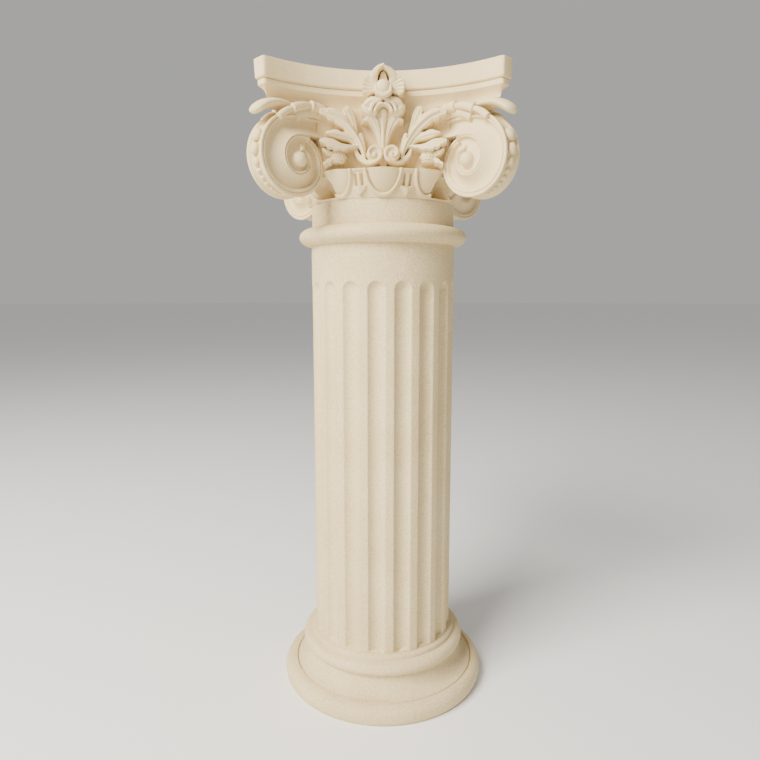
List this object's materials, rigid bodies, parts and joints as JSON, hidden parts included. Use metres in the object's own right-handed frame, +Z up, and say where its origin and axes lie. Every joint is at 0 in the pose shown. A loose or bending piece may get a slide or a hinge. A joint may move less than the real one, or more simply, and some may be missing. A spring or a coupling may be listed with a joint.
{
  "type": "display column",
  "caption": "Free-standing fluted plaster column with a round moulded base and a scrolled, leafy capital whose flat slab top holds a display piece.",
  "frame": {"origin": "centre of the base's underside", "axes": "+Z up the column; -Y is the front, the face of the capital that the picture shows; +X to its right"},
  "size_m": [0.406, 0.406, 1.05],
  "materials": {
    "base_plaster": "matte cast plaster",
    "shaft_plaster": "matte cast plaster",
    "capital_plaster": "matte cast plaster"
  },
  "bodies": {
    "root": {"base": "base_plaster", "shaft": "shaft_plaster", "capital": "capital_plaster"}
  },
  "joints": []
}
